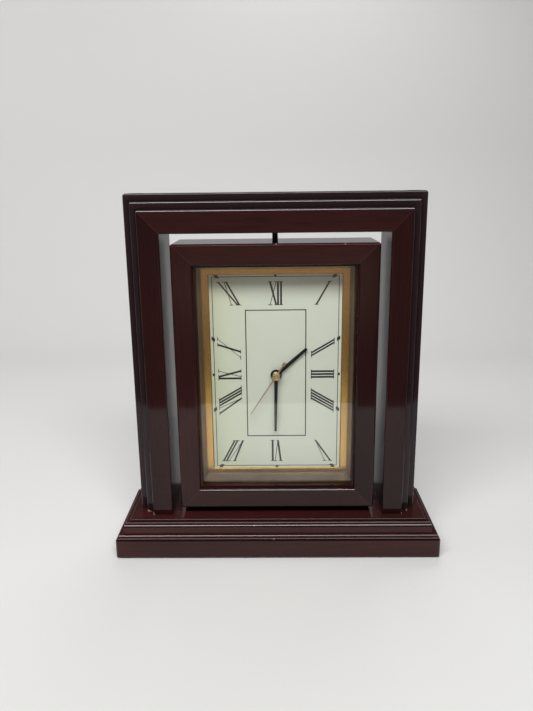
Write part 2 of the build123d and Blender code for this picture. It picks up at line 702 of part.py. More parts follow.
def make_minute_hand():
    return make_hand(
        MINUTE_ANGLE, MINUTE_LENGTH, MINUTE_WIDTHS, HAND_HUB_RADII[1], CANNON_BORE, MINUTE_HAND_BACK
    )


def make_second_hand():
    """Flat needle with a paddle on its tail."""
    root, tip = (width / 2 for width in SECOND_WIDTHS)
    neck = SECOND_TAIL - SECOND_PADDLE_LENGTH
    paddle = SECOND_PADDLE_WIDTH / 2
    outline = Polyline(
        (-root, 0), (-tip, SECOND_LENGTH), (tip, SECOND_LENGTH), (root, 0), (root, -neck),
        (paddle, -neck), (paddle, -SECOND_TAIL), (-paddle, -SECOND_TAIL), (-paddle, -neck), (-root, -neck),
        close=True,
    )
    blade = Pos(*CENTRE) * Rot(0, 0, -SECOND_ANGLE) * make_face(outline)
    return prism(blade, SECOND_HAND_BACK - HAND_EDGE, SECOND_HAND_BACK)


def make_second_cap():
    front = SECOND_HAND_BACK - HAND_EDGE
    cap = rod(CENTRE, HAND_HUB_RADII[2], front - CAP_HEIGHT, front)
    return chamfer(cap.faces().sort_by(Axis.Y)[0].edges(), CAP_HEIGHT / 2)


# Movement housing
def gear_room():
    """(x, z) outline of the room above the battery bay."""
    bottom = BAY_TOP + HOUSING_WALL
    top = CENTRE_Z + MOVEMENT_SIDE / 2 - HOUSING_WALL
    return Pos(0, (bottom + top) / 2) * Rectangle(2 * BAY_HALF_LENGTH, top - bottom)


def make_front_housing():
    outline = chamfer(Rectangle(MOVEMENT_SIDE, MOVEMENT_SIDE).vertices(), MOVEMENT_CHAMFER)
    housing = prism(Pos(*CENTRE) * outline, MOVEMENT_FRONT, MOVEMENT_BACK)
    housing -= prism(gear_room(), HOUSING_INSIDE, MOVEMENT_BACK)
    bay = Pos(0, BATTERY_Z) * Rectangle(2 * BAY_HALF_LENGTH, BAY_HEIGHT)
    housing -= prism(bay, HOUSING_INSIDE, MOVEMENT_BACK)
    housing -= prism(cover_outline(), COVER_FRONT, MOVEMENT_BACK)
    housing -= rod(CENTRE, BUSH_THREAD_RADIUS, MOVEMENT_FRONT, HOUSING_INSIDE)
    for place in (THIRD, INTERMEDIATE, ROTOR):
        housing -= pivot_pocket(place, FRONT_PIVOT, HOUSING_INSIDE)
    return housing + rod(MINUTE, POST_RADIUS, HOUSING_INSIDE, CANNON_LAYER + GEAR_THICKNESS)


def cover_outline():
    """(x, z) outline of the rear cover, let into the housing's walls above the bay."""
    margin = HOUSING_WALL / 2
    bottom = BAY_TOP + margin
    top = CENTRE_Z + MOVEMENT_SIDE / 2 - margin
    return Pos(0, (bottom + top) / 2) * Rectangle(MOVEMENT_SIDE - 2 * margin, top - bottom)


def make_rear_cover():
    cover = prism(cover_outline(), COVER_FRONT, MOVEMENT_BACK)
    for place in (CENTRE, THIRD, INTERMEDIATE, ROTOR):
        cover -= pivot_pocket(place, COVER_FRONT, BACK_PIVOT)
    return cover - rod(SETTING, KNOB_SHAFT_RADIUS + RUNNING_CLEARANCE, COVER_FRONT, MOVEMENT_BACK)


def make_centre_bush():
    return tube(CENTRE, BUSH_THREAD_RADIUS, CENTRE_BUSH_BORE, BOARD_FRONT, HOUSING_INSIDE)


def make_nut():
    """Nut in the board's counterbore."""
    back = BOARD_FRONT + BOARD_COUNTERBORE_DEPTH
    outline = RegularPolygon(NUT_FLATS / 2, 6, major_radius=False) - Circle(BUSH_THREAD_RADIUS)
    return prism(Pos(*CENTRE) * outline, back - NUT_THICKNESS, back)


# Battery and contacts
def lengthwise(radius, start, end):
    """Round rod along X on the battery's axis."""
    place = Plane((start, BATTERY_Y, BATTERY_Z), z_dir=(1, 0, 0))
    return extrude(place * Circle(radius), end - start)


def make_battery():
    cell = lengthwise(BATTERY_RADIUS, -BATTERY_HALF + NUB_LENGTH, BATTERY_HALF)
    return cell + lengthwise(NUB_RADIUS, -BATTERY_HALF, -BATTERY_HALF + NUB_LENGTH)


def make_contact(side):
    """Strip on the bay's end wall with a boss that touches the battery."""
    wall = BAY_HALF_LENGTH
    plane = Plane((-wall, BATTERY_Y, BATTERY_Z), x_dir=(0, 1, 0), z_dir=(1, 0, 0))
    strip = extrude(plane * Rectangle(CONTACT_WIDTH, CONTACT_WIDTH), CONTACT_THICKNESS)
    boss = plane * Rectangle(NUB_RADIUS, NUB_RADIUS)
    strip += extrude(boss, wall - BATTERY_HALF - CONTACT_TOUCH_GAP)
    return mirror(strip, Plane.YZ) if side > 0 else strip


# Motor and electronics
def stator_front():
    return magnet_front() + (MAGNET_LENGTH - STATOR_THICKNESS) / 2


def core_place():
    """(y, z) of the coil's axis: the core lies on the back of the stator's arms."""
    y = stator_front() + STATOR_THICKNESS + CORE_SIDE / 2
    z = CENTRE_Z + MOVEMENT_SIDE / 2 - HOUSING_WALL - BOBBIN_FLANGE_SIDE / 2 - SEAT_CLEARANCE
    return y, z


def make_stator():
    bottom = ROTOR[1] - STATOR_HOLE_RADIUS - STATOR_RIM / 2
    top = ROTOR[1] + STATOR_HOLE_RADIUS + STATOR_RIM / 2
    bar = Pos(0, (bottom + top) / 2) * Rectangle(2 * STATOR_HALF_WIDTH, top - bottom)
    high = core_place()[1] + CORE_SIDE / 2
    arm = Rectangle(STATOR_ARM, high - bottom)
    for side in (-1, 1):
        bar += Pos(side * (STATOR_HALF_WIDTH - STATOR_ARM / 2), (bottom + high) / 2) * arm
    bar -= Pos(*ROTOR) * Circle(STATOR_HOLE_RADIUS)
    return prism(bar, stator_front(), stator_front() + STATOR_THICKNESS)


def along_core(outline, start, end):
    """Bar along X on the coil's axis."""
    y, z = core_place()
    return extrude(Plane((start, y, z), x_dir=(0, 1, 0), z_dir=(1, 0, 0)) * outline, end - start)


def make_core():
    return along_core(Rectangle(CORE_SIDE, CORE_SIDE), -STATOR_HALF_WIDTH, STATOR_HALF_WIDTH)


def make_bobbin():
    """Iron core with the coil former's two flanges."""
    half = COIL_LENGTH / 2
    flange = Rectangle(BOBBIN_FLANGE_SIDE, BOBBIN_FLANGE_SIDE)
    bobbin = make_core() + along_core(flange, -half - BOBBIN_FLANGE, -half)
    return bobbin + along_core(flange, half, half + BOBBIN_FLANGE)


def make_winding():
    half = COIL_LENGTH / 2
    return along_core(Circle(COIL_RADIUS), -half, half) - make_core()


def board_centre():
    """(x, z) of the circuit board, in the housing's left corner."""
    x = -BAY_HALF_LENGTH + BOARD_SIZE[0] / 2
    z = CENTRE_Z + MOVEMENT_SIDE / 2 - HOUSING_WALL - BOARD_SIZE[1] / 2
    return x, z


def make_circuit_board():
    """Board on the housing's face with the chip's cover."""
    x, z = board_centre()
    board = prism(Pos(x, z) * Rectangle(*BOARD_SIZE), HOUSING_INSIDE, HOUSING_INSIDE + BOARD_SHEET)
    back = HOUSING_INSIDE + BOARD_SHEET
    chip = Pos(x, z - BOARD_SIZE[1] / 4) * Rectangle(CHIP_SIDE, CHIP_SIDE)
    return board + prism(chip, back, back + CHIP_HEIGHT)


def make_crystal():
    x, z = board_centre()
    y = HOUSING_INSIDE + BOARD_SHEET + CRYSTAL_RADIUS
    can = extrude(Circle(CRYSTAL_RADIUS), CRYSTAL_LENGTH)
    return Pos(x, y, z) * can


def make_nodes():
    """Every piece of the clock by its node name."""
    nodes = {
        "base_felt": make_base_felt(),
        "base_slab": make_base_slab(),
        "base_step": make_base_step(),
        "left_jamb": make_jamb(-1),
        "right_jamb": make_jamb(1),
        "lintel": make_lintel(),
        "lower_pivot_bush": make_lower_bush(),
        "upper_pivot_bush": make_upper_bush(),
        "lower_pivot_pin": make_lower_pin(),
        "upper_pivot_pin": make_upper_pin(),
        "case_bottom_rail": make_rail(-1),
        "case_top_rail": make_rail(1),
        "case_left_stile": make_stile(-1),
        "case_right_stile": make_stile(1),
        "glass": make_glass(),
        "bezel": make_bezel(),
        "dial_plate": make_dial(),
        "dial_board": make_dial_board(),
        "left_batten": make_batten(-1),
        "right_batten": make_batten(1),
        "back_panel": make_back_panel(),
        "front_housing": make_front_housing(),
        "rear_cover": make_rear_cover(),
        "centre_bush": make_centre_bush(),
        "bush_nut": make_nut(),
        "positive_contact": make_contact(-1),
        "negative_contact": make_contact(1),
        "battery": make_battery(),
        "stator": make_stator(),
        "coil_bobbin": make_bobbin(),
        "coil_winding": make_winding(),
        "circuit_board": make_circuit_board(),
        "quartz_crystal": make_crystal(),
        "rotor": make_rotor(),
        "rotor_magnet": make_rotor_magnet(),
        "intermediate_wheel": make_intermediate_wheel(),
        "second_wheel": make_second_wheel(),
        "third_wheel": make_third_wheel(),
        "centre_wheel": make_centre_wheel(),
        "cannon_pinion": make_cannon_pinion(),
        "clutch_washer": make_clutch_washer(),
        "minute_wheel": make_minute_wheel(),
        "hour_wheel": make_hour_wheel(),
        "setting_wheel": make_setting_wheel(),
        "setting_knob": make_setting_knob(),
        "hour_hand": make_hour_hand(),
        "minute_hand": make_minute_hand(),
        "second_hand": make_second_hand(),
        "second_cap": make_second_cap(),
    }
    for name in ("top", "bottom", "left", "right"):
        nodes[name + "_liner"] = make_liner(name)
    return nodes


os.makedirs("parts", exist_ok=True)
for node, solid in make_nodes().items():
    export_step(solid, f"parts/{node}.step")
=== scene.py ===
import json
import math
import bmesh
import bpy
from mathutils import Matrix, Vector


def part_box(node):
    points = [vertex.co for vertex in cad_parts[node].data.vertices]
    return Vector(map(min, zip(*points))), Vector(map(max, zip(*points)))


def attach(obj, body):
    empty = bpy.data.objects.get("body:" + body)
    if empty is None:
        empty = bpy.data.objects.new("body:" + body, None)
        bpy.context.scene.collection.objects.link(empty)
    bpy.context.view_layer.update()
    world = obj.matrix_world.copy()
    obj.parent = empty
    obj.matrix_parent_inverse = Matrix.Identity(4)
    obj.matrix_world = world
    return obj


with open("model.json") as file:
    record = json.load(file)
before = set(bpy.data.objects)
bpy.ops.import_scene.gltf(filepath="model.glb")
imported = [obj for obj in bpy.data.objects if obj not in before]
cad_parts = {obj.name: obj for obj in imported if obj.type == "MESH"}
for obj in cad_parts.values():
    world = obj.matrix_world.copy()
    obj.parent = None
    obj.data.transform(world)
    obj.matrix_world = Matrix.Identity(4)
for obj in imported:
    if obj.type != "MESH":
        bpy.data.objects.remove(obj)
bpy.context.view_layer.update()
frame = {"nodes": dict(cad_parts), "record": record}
NODES = frame["nodes"]
MM = 0.001
RIGHT, REAR, FRONT, UP = (1, 0, 0), (0, 1, 0), (0, -1, 0), (0, 0, 1)

# Places taken from the frame, in metres
DIAL_LOW, DIAL_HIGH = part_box("dial_plate")
DIAL_FRONT = DIAL_LOW.y
CENTRE_Z = (DIAL_LOW.z + DIAL_HIGH.z) / 2
DIAL_CENTRE = (0, 0, CENTRE_Z)
LINTEL_LOW, LINTEL_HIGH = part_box("lintel")
JAMB_LOW, JAMB_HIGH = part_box("left_jamb")
OUTER_X, INNER_X = JAMB_LOW.x, JAMB_HIGH.x
CASE_TOP_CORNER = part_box("case_top_rail")[1]
CASE_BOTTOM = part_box("case_bottom_rail")[0].z
SLAB_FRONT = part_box("base_slab")[0].y
STEP_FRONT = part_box("base_step")[0].y
BATTERY_LOW, BATTERY_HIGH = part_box("battery")
PANEL_LOW, PANEL_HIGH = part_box("back_panel")
COVER_LOW, COVER_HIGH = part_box("rear_cover")
KNOB_LOW, KNOB_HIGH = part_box("setting_knob")

# Camera, solved from the photograph's perspective
IMAGE_SIZE = (533, 711)
FOCAL_PIXELS = 652.04
SENSOR = 36.0
CAMERA_PLACE = Vector((0.6105, -473.05, 268.356)) * MM
CAMERA_PITCH = math.radians(14.585)
CAMERA_YAW = 0.016334
CAMERA_ROLL = -0.011804
CAMERA_CLIP = 0.01

# Stage: a paper sweep behind and under the clock, wide side sheets, and a dim room in front
SWEEP_HALF_WIDTH = 0.27
SHEET_HALF_WIDTH = 2.5
FRONT_REACH = -0.85
SWEEP_BACK = 0.55
COVE_RADIUS = 0.35
COVE_STEPS = 24
WALL_HEIGHT = 1.3
TABLE_EDGE = -0.345
SIDE_FADE = (0.62, 1.15)
FRONT_FADE = (0.4, 0.85)
FLOOR_COLOUR = (0.71, 0.705, 0.69, 1)
BACKGROUND = (0.72, 0.72, 0.72, 1)
ROOM = (0.10, 0.10, 0.11, 1)

# Warm spot of the room: its colour, and the directions between which it fades in and out
WARM_ROOM = (0.55, 0.43, 0.34, 1)
WARM_BOTTOM = (-0.24, -0.16)
WARM_TOP = (-0.07, -0.12)
WARM_SIDE = (0.18, 0.13)

# Lamps: name, place, target, width and height, and power in watts
LAMPS = (
    ("key_lamp", (-0.1, -0.8, 1.02), DIAL_CENTRE, (1.3, 0.32), 19),
    ("back_lamp", (-0.85, 0.15, 0.7), (-0.6, 0.9, 0.4), (0.8, 0.6), 2.2),
    ("rear_lamp", (0.2, 0.7, 0.9), DIAL_CENTRE, (0.7, 0.4), 2.5),
)

# Dial print, in millimetres from the dial's centre
INK_THICKNESS = 0.03
OUTER_LINE = (46.3, 73.8, 0.5)
INNER_LINE = (22.2, 49.1, 0.75)
NUMERAL_HEIGHT = 17.4
ROW_DISTANCE = 61.5
COLUMN_DISTANCE = 34.8
ROW_OFFSET = 34.6
COLUMN_OFFSET = 20.5
NUMERAL_SHIFTS = {7: 2.0, 11: 0.5}
STROKE = 1.45
HAIRLINE = 0.5
SERIF_REACH = 1.5
SERIF_THICKNESS = 0.5
I_PITCH = 2.2
X_WIDTH = 4.6
V_WIDTH = 4.4
LETTER_GAPS = {"I": 1.25, "V": 1.9, "X": 1.25}
NUMERALS = ("XII", "I", "II", "III", "IIII", "V", "VI", "VII", "VIII", "IX", "X", "XI")

# Hour markers: their places along a row and a column, then width and reach inside and outside the outer line
MARKER_PLACES = (42.8, 27.4)
CORNER_MARKER = (2.75, -1.05, 1.45)
MIDDLE_MARKER = (2.0, -0.25, 1.5)

# Panel screws, in millimetres: the dome is a stack of (radius, height) rings
SCREW_INSET = 6.2
SCREW_RADIUS = 3.0
SCREW_RIM = 0.35
SCREW_DOME = ((SCREW_RADIUS, SCREW_RIM), (2.95, 0.55), (2.6, 0.8), (1.8, 0.93))
SCREW_SLOT_HALF = 0.32
SCREW_TURNS = (0.4, 1.9, 1.1, 2.7)
RING_POINTS = 24

# Raised marks on the movement's rear cover, in millimetres and degrees
MARK_HEIGHT = 0.25
SIGN_ARM = 1.5
SIGN_HALF_WIDTH = 0.3
SIGN_RISE = 3.4
SIGN_INSET = 4.0
ARROW_GAP = 1.6
ARROW_HALF_WIDTH = 0.35
ARROW_HEAD_HALF_WIDTH = 3 * ARROW_HALF_WIDTH
ARROW_STARTS = (25, 205)
ARROW_POINTS = 21
ARROW_PITCH = 6
ARROW_HEAD_SWEEP = 16

# Lacquered mahogany: colours, and the lacquer's roughness, weight and refraction
GRAIN_REDS = (0.0175, 0.034, 0.060)
PORE_COLOUR = (0.006, 0.003, 0.003, 1)
WORN_COLOUR = (0.10, 0.040, 0.030, 1)
# Painted shade and a cool painted reflection on the frame's two outer steps
STEP_SHADE_COLOUR = (0.019, 0.011, 0.012, 1)
# Painted shade in the inner corners of the steps
CORNER_SHADE_COLOUR = (0.0035, 0.0024, 0.0026, 1)
# Painted highlight along the noses of the steps
NOSE_HIGHLIGHT_COLOUR = (0.070, 0.054, 0.054, 1)
# Painted shade: the right end of some members, and the lower part of the base's noses
SHADE_COLOUR = (0.004, 0.003, 0.003, 1)
MITRE_COLOUR = (0.085, 0.042, 0.035, 1)
CHIP_COLOUR = (0.42, 0.30, 0.25, 1)
MITRE_WIDTH = 0.32 * MM
LACQUER_ROUGHNESS = 0.07
INSIDE_ROUGHNESS = 0.32
TREAD_ROUGHNESS = 0.12
LACQUER_WEIGHT = 0.6
ARRIS_WEIGHT = 0.95
LACQUER_IOR = 1.5
ARRIS_IOR = 1.75

# Lacquer's weight on rounded upper edges, where it isn't ARRIS_WEIGHT
ARRIS_WEIGHTS = {"case_top_rail": 0.0}

# Painted shade: share by which a member darkens from its left end to its right
DARKENED = {"lintel": 0.3, "case_top_rail": 0.45, "case_bottom_rail": 0.25}

# Steps of the frame's moulding: the way across a member, its outer edge, a step's width and the inner face
JAMB_STEP = 5.25 * MM
LINTEL_STEP = JAMB_STEP * (LINTEL_HIGH.z - LINTEL_LOW.z) / (INNER_X - OUTER_X)
STEPS = {
    "left_jamb": (RIGHT, -OUTER_X, JAMB_STEP, -INNER_X),
    "right_jamb": (RIGHT, -OUTER_X, JAMB_STEP, -INNER_X),
    "lintel": (UP, LINTEL_HIGH.z, LINTEL_STEP, LINTEL_LOW.z),
}

# Lacquer on the base's treads: how its normal leans and rises from nose to foot, and its normal on the rims
TREAD_LEAN = (-0.982, -0.722)
TREAD_RISE = (0.187, 0.692)
RIM_NORMAL = (0, -0.749, 0.662)
BACK_RIM_GLOSS = 0.08

# Narrow treads: nose, foot of the riser behind, gloss at the left and right, and the rim's slopes and gloss
TREADS = {
    "base_slab": (SLAB_FRONT, STEP_FRONT, (1.2, 0.6), (0.8, 0.93), 0.12),
    "base_step": (STEP_FRONT, STEP_FRONT + (STEP_FRONT - SLAB_FRONT), (0.36, 0.45), (0.78, 0.985), 0.5),
}


# Node helpers
class Nodes:
    """Shader nodes of a material or the world, added step by step."""

    def __init__(self, tree):
        self.tree = tree

    def put(self, node, socket, value):
        """Set an input to a plain value, or feed it from another node's output."""
        if isinstance(value, bpy.types.NodeSocket):
            self.tree.links.new(value, node.inputs[socket])
        else:
            node.inputs[socket].default_value = value

    def add(self, kind, inputs=None, **settings):
        node = self.tree.nodes.new(kind)
        for setting, value in settings.items():
            setattr(node, setting, value)
        for socket, value in (inputs or {}).items():
            self.put(node, socket, value)
        return node

    def math(self, operation, first, second=0.0):
        return self.add("ShaderNodeMath", {0: first, 1: second}, operation=operation).outputs[0]

    def product(self, first, *factors):
        for factor in factors:
            first = self.math("MULTIPLY", first, factor)
        return first

    def vector(self, operation, first, second, output="Vector"):
        return self.add("ShaderNodeVectorMath", {0: first, 1: second}, operation=operation).outputs[output]

    def dot(self, vector, direction):
        return self.vector("DOT_PRODUCT", vector, direction, "Value")

    def span(self, value, low, high, to_low=0.0, to_high=1.0):
        """Value carried from one range to another, with its ends held."""
        sockets = {"Value": value, "From Min": low, "From Max": high, "To Min": to_low, "To Max": to_high}
        return self.add("ShaderNodeMapRange", sockets, clamp=True).outputs[0]

    def mix(self, share, first, second):
        return self.add("ShaderNodeMix", {0: share, 6: first, 7: second}, data_type="RGBA").outputs[2]

    def mix_vectors(self, share, first, second):
        return self.add("ShaderNodeMix", {0: share, 4: first, 5: second}, data_type="VECTOR").outputs[1]


class Surface(Nodes):
    """Node material with one Principled shader."""

    def __init__(self, name, **sockets):
        self.material = bpy.data.materials.new(name)
        self.material.use_nodes = True
        super().__init__(self.material.node_tree)
        self.shader = self.tree.nodes["Principled BSDF"]
        self.place = self.add("ShaderNodeTexCoord").outputs["Object"]
        self.finish(**sockets)

    def finish(self, **sockets):
        """Set the shader's sockets, whose names have underscores for spaces."""
        for socket, value in sockets.items():
            self.put(self.shader, socket.replace("_", " "), value)
        return self.material

    def noise(self, scale, stretch=(1, 1, 1), detail=4.0, distortion=0.0, shift=(0, 0, 0)):
        """Noise with features of about 1 / scale metres, longer along a small stretch."""
        mapping = self.add("ShaderNodeMapping", {"Vector": self.place, "Scale": stretch, "Location": shift})
        values = {"Vector": mapping.outputs[0], "Scale": scale, "Detail": detail, "Distortion": distortion}
        return self.add("ShaderNodeTexNoise", values).outputs["Fac"]

    def coordinate(self, direction):
        return self.dot(self.place, direction)

    def distance(self, point):
        return self.vector("DISTANCE", self.place, point, "Value")

    def normal(self):
        return self.add("ShaderNodeNewGeometry").outputs["Normal"]

    def facing(self, direction):
        """How much the surface faces a fixed direction."""
        return self.dot(self.normal(), direction)

    def edges(self, radius):
        """1 on sharp edges, fading to 0 at a distance from them."""
        rounded = self.add("ShaderNodeBevel", {"Radius": radius}, samples=6).outputs[0]
        return self.span(self.dot(rounded, self.normal()), 0.97, 0.8)

    def bump(self, height, strength, distance):
        sockets = {"Height": height, "Strength": strength, "Distance": distance}
        self.finish(Normal=self.add("ShaderNodeBump", sockets).outputs[0])


# Wood
def along(axis, short):
    """Stretch that draws a pattern out along an axis."""
    return tuple(short if name == axis else 1.0 for name in "XYZ")


def stain(red, tone):
    """Red-brown of a given strength, lighter or darker by the member's tone."""
    return (red * tone, (0.0028 + 0.16 * red) * tone, (0.0030 + 0.14 * red) * tone, 1)


def colour_grain(wood, axis, shift, pore, tone):
    """Figured red-brown with dark pores, worn lighter on the edges."""
    figure = wood.noise(70, along(axis, 0.06), 5, 0.6, shift)
    ribbon = wood.noise(16, along(axis, 0.25), 2, 0.2, shift)
    dark, middle, light = (stain(red, tone) for red in GRAIN_REDS)
    colour = wood.mix(wood.span(figure, 0.3, 0.7), dark, middle)
    colour = wood.mix(wood.span(ribbon, 0.4, 0.75, 0.0, 0.55), colour, light)
    colour = wood.mix(wood.product(pore, 0.35), colour, PORE_COLOUR)
    worn = wood.product(wood.edges(0.7 * MM), wood.span(wood.noise(160, detail=3), 0.56, 0.72))
    return wood.mix(wood.product(worn, 0.5), colour, WORN_COLOUR)


def colour_steps(wood, colour, axis, across, outer, step):
    """Steps of a moulding: painted shade in their inner corners, darker and greyer outer steps from painted
    shade and a cool painted reflection, and a painted highlight along their noses.
    """
    inwards = wood.math("DIVIDE", wood.math("SUBTRACT", outer, across), step)
    place = wood.math("FRACT", inwards)
    # Painted shade in the inner corners
    corner_shade = wood.product(wood.span(place, 0.45, 0.97), wood.math("LESS_THAN", inwards, 1.98))
    nose = wood.product(wood.span(place, 0.05, 0.16, 1.0, 0.0), wood.math("LESS_THAN", inwards, 2.3))
    # Painted shade and a cool painted reflection on the two outer steps
    shaded_steps = wood.math("GREATER_THAN", across, outer - 2 * step)
    colour = wood.mix(wood.product(shaded_steps, 0.75), colour, STEP_SHADE_COLOUR)
    colour = wood.mix(wood.product(corner_shade, 0.8), colour, CORNER_SHADE_COLOUR)
    # Painted highlight along the noses, uneven with noise
    wear_and_highlight = wood.span(wood.noise(120, along(axis, 0.3)), 0.3, 0.65, 0.15, 0.75)
    return wood.mix(wood.product(nose, wear_and_highlight), colour, NOSE_HIGHLIGHT_COLOUR)


def colour_mitre(wood, colour, corner, inner):
    """Paler line along the mitre plane through two (x, z) points."""
    run = Vector((inner[0] - corner[0], 0, inner[1] - corner[1])).normalized()
    normal = (-run.z, 0, run.x)
    offset = corner[0] * normal[0] + corner[1] * normal[2]
    gap = wood.math("ABSOLUTE", wood.math("SUBTRACT", wood.coordinate(normal), offset))
    line = wood.span(gap, 0.0, MITRE_WIDTH, 1.0, 0.0)
    return wood.mix(wood.product(line, 0.3), colour, MITRE_COLOUR)


def colour_chips(wood, colour, chips):
    """Pale ragged spots where an edge is chipped, each a point and a radius."""
    ragged = wood.span(wood.noise(900, detail=2), 0.3, 0.7, -0.5, 0.5)
    chipped = 0.0
    for point, radius in chips:
        reach = wood.math("ADD", wood.math("DIVIDE", wood.distance(point), radius), ragged)
        chipped = wood.math("MAXIMUM", chipped, wood.span(reach, 0.7, 1.0, 1.0, 0.0))
    return wood.mix(chipped, colour, CHIP_COLOUR)


def add_tread_lacquer(wood, weight, nose, foot, gloss, rim, rim_gloss):
    """Lacquer that lies rounded over a narrow tread and its rim; returns the lower part of the noses, where
    the lacquer is cut and painted shade goes.
    """
    depth = wood.coordinate(REAR)
    level = wood.facing(UP)
    rim_low, rim_high = rim
    ahead = wood.math("LESS_THAN", depth, foot)
    on_front = wood.math("GREATER_THAN", wood.facing(FRONT), 0.1)
    above_low = wood.math("GREATER_THAN", level, rim_low)
    on_rim = wood.product(above_low, wood.math("LESS_THAN", level, rim_high), on_front)
    on_tread = wood.product(wood.math("GREATER_THAN", level, rim_high), ahead)
    # Lower part of the noses: no lacquer there, and painted shade is laid on it in make_mahogany
    under = wood.product(wood.span(level, 0.04, 0.1), wood.span(level, rim_low, rim_low - 0.1), on_front)

    share = wood.span(depth, nose, foot)
    leaning = {"Y": wood.span(share, 0, 1, *TREAD_LEAN), "Z": wood.span(share, 0, 1, *TREAD_RISE)}
    rounded = wood.add("ShaderNodeCombineXYZ", leaning).outputs[0]
    normal = wood.mix_vectors(on_tread, wood.normal(), rounded)
    normal = wood.mix_vectors(on_rim, normal, RIM_NORMAL)

    on_tread_weight = wood.span(wood.coordinate(RIGHT), OUTER_X, -OUTER_X, *gloss)
    on_rim_weight = wood.span(ahead, 0, 1, BACK_RIM_GLOSS, rim_gloss)
    weight = wood.product(
        weight,
        wood.span(under, 0, 1, 1.0, 0.0),
        wood.span(on_tread, 0, 1, 1.0, on_tread_weight),
        wood.span(on_rim, 0, 1, 1.0, on_rim_weight),
    )
    smooth = wood.math("MAXIMUM", on_tread, on_rim)
    roughness = wood.span(smooth, 0, 1, LACQUER_ROUGHNESS, TREAD_ROUGHNESS)
    wood.finish(Coat_Weight=weight, Coat_Normal=normal, Coat_Roughness=roughness)
    return under


def make_mahogany(node, seed, axis, tone, mitres, chips):
    """Dark red mahogany under gloss lacquer, with the grain along an axis of the member."""
    wood = Surface("mahogany_" + node, Specular_IOR_Level=0.0, Coat_Roughness=LACQUER_ROUGHNESS)
    shift = (seed * 1.7, seed * 0.9, seed * 2.3)
    pore = wood.span(wood.noise(1500, along(axis, 0.03), 2, 0.0, shift), 0.36, 0.44, 1.0, 0.0)
    colour = colour_grain(wood, axis, shift, pore, tone)
    inside, below = 0.0, 1.0
    if node in STEPS:
        direction, outer, step, inner = STEPS[node]
        across = wood.math("ABSOLUTE", wood.coordinate(direction))
        colour = colour_steps(wood, colour, axis, across, outer, step)
        inside = wood.math("LESS_THAN", across, inner + 0.3 * MM)
        below = wood.math("LESS_THAN", across, outer - 2 * MM)
        wood.finish(Coat_Roughness=wood.span(inside, 0, 1, LACQUER_ROUGHNESS, INSIDE_ROUGHNESS))
    # Painted shade, darker towards the member's right end
    if node in DARKENED:
        shaded = wood.span(wood.coordinate(RIGHT), OUTER_X, -OUTER_X, 0.0, DARKENED[node])
        colour = wood.mix(shaded, colour, SHADE_COLOUR)
    for corner, inner in mitres:
        colour = colour_mitre(wood, colour, corner, inner)
    if chips:
        colour = colour_chips(wood, colour, chips)

    height = wood.math("ADD", wood.product(pore, -0.4), wood.noise(420, detail=1))
    wood.bump(height, 0.06, 0.05 * MM)
    rounded = wood.product(wood.facing(UP), wood.facing(FRONT))
    shine = wood.product(wood.span(rounded, 0.2, 0.42), below)
    fullest = ARRIS_WEIGHTS.get(node, ARRIS_WEIGHT)
    weight = wood.span(wood.math("MAXIMUM", shine, inside), 0, 1, LACQUER_WEIGHT, fullest)
    wood.finish(Coat_Weight=weight, Coat_IOR=wood.span(shine, 0, 1, LACQUER_IOR, ARRIS_IOR))
    if node in TREADS:
        under = add_tread_lacquer(wood, weight, *TREADS[node])
        # Painted shade on the lower part of the base's noses
        colour = wood.mix(wood.product(under, 0.75), colour, SHADE_COLOUR)
    smears = wood.noise(40, detail=6, shift=shift)
    return wood.finish(Base_Color=colour, Roughness=wood.span(smears, 0.3, 0.75, 0.2, 0.34))


def make_liner_wood():
    """Plain brown wood of the strips round the dial."""
    wood = Surface("liner_wood", Coat_Weight=0.3, Coat_Roughness=0.2)
    figure = wood.noise(90, along("Z", 0.08), 5, 0.4)
    colour = wood.mix(wood.span(figure, 0.3, 0.7), (0.045, 0.027, 0.017, 1), (0.085, 0.052, 0.032, 1))
    roughness = wood.span(wood.noise(60), 0.3, 0.7, 0.35, 0.5)
    wood.bump(figure, 0.15, 0.05 * MM)
    return wood.finish(Base_Color=colour, Roughness=roughness)


def make_hardboard():
    """Stained fibreboard of the back panel, the dial's board and the battens."""
    board = Surface("hardboard")
    fibres = board.noise(700, (1, 1, 0.35), 6, 1.2)
    blotches = board.noise(22, detail=4)
    colour = board.mix(board.span(fibres, 0.3, 0.7), (0.060, 0.034, 0.020, 1), (0.125, 0.078, 0.048, 1))
    colour = board.mix(board.span(blotches, 0.45, 0.75, 0.0, 0.4), colour, (0.05, 0.03, 0.02, 1))
    wear_and_highlight = board.product(board.edges(0.8 * MM), board.span(board.noise(250), 0.45, 0.65))
    colour = board.mix(board.product(wear_and_highlight, 0.6), colour, (0.22, 0.15, 0.10, 1))
    board.bump(fibres, 0.35, 0.1 * MM)
    return board.finish(Base_Color=colour, Roughness=board.span(fibres, 0.3, 0.7, 0.6, 0.8))


def make_felt():
    """Green felt under the base."""
    felt = Surface("felt", Roughness=0.95, Sheen_Weight=0.6, Sheen_Roughness=0.5)
    fuzz = felt.noise(1800, detail=4, distortion=1.5)
    colour = felt.mix(felt.span(fuzz, 0.3, 0.7), (0.010, 0.024, 0.015, 1), (0.035, 0.070, 0.045, 1))
    felt.bump(fuzz, 0.8, 0.3 * MM)
    return felt.finish(Base_Color=colour)


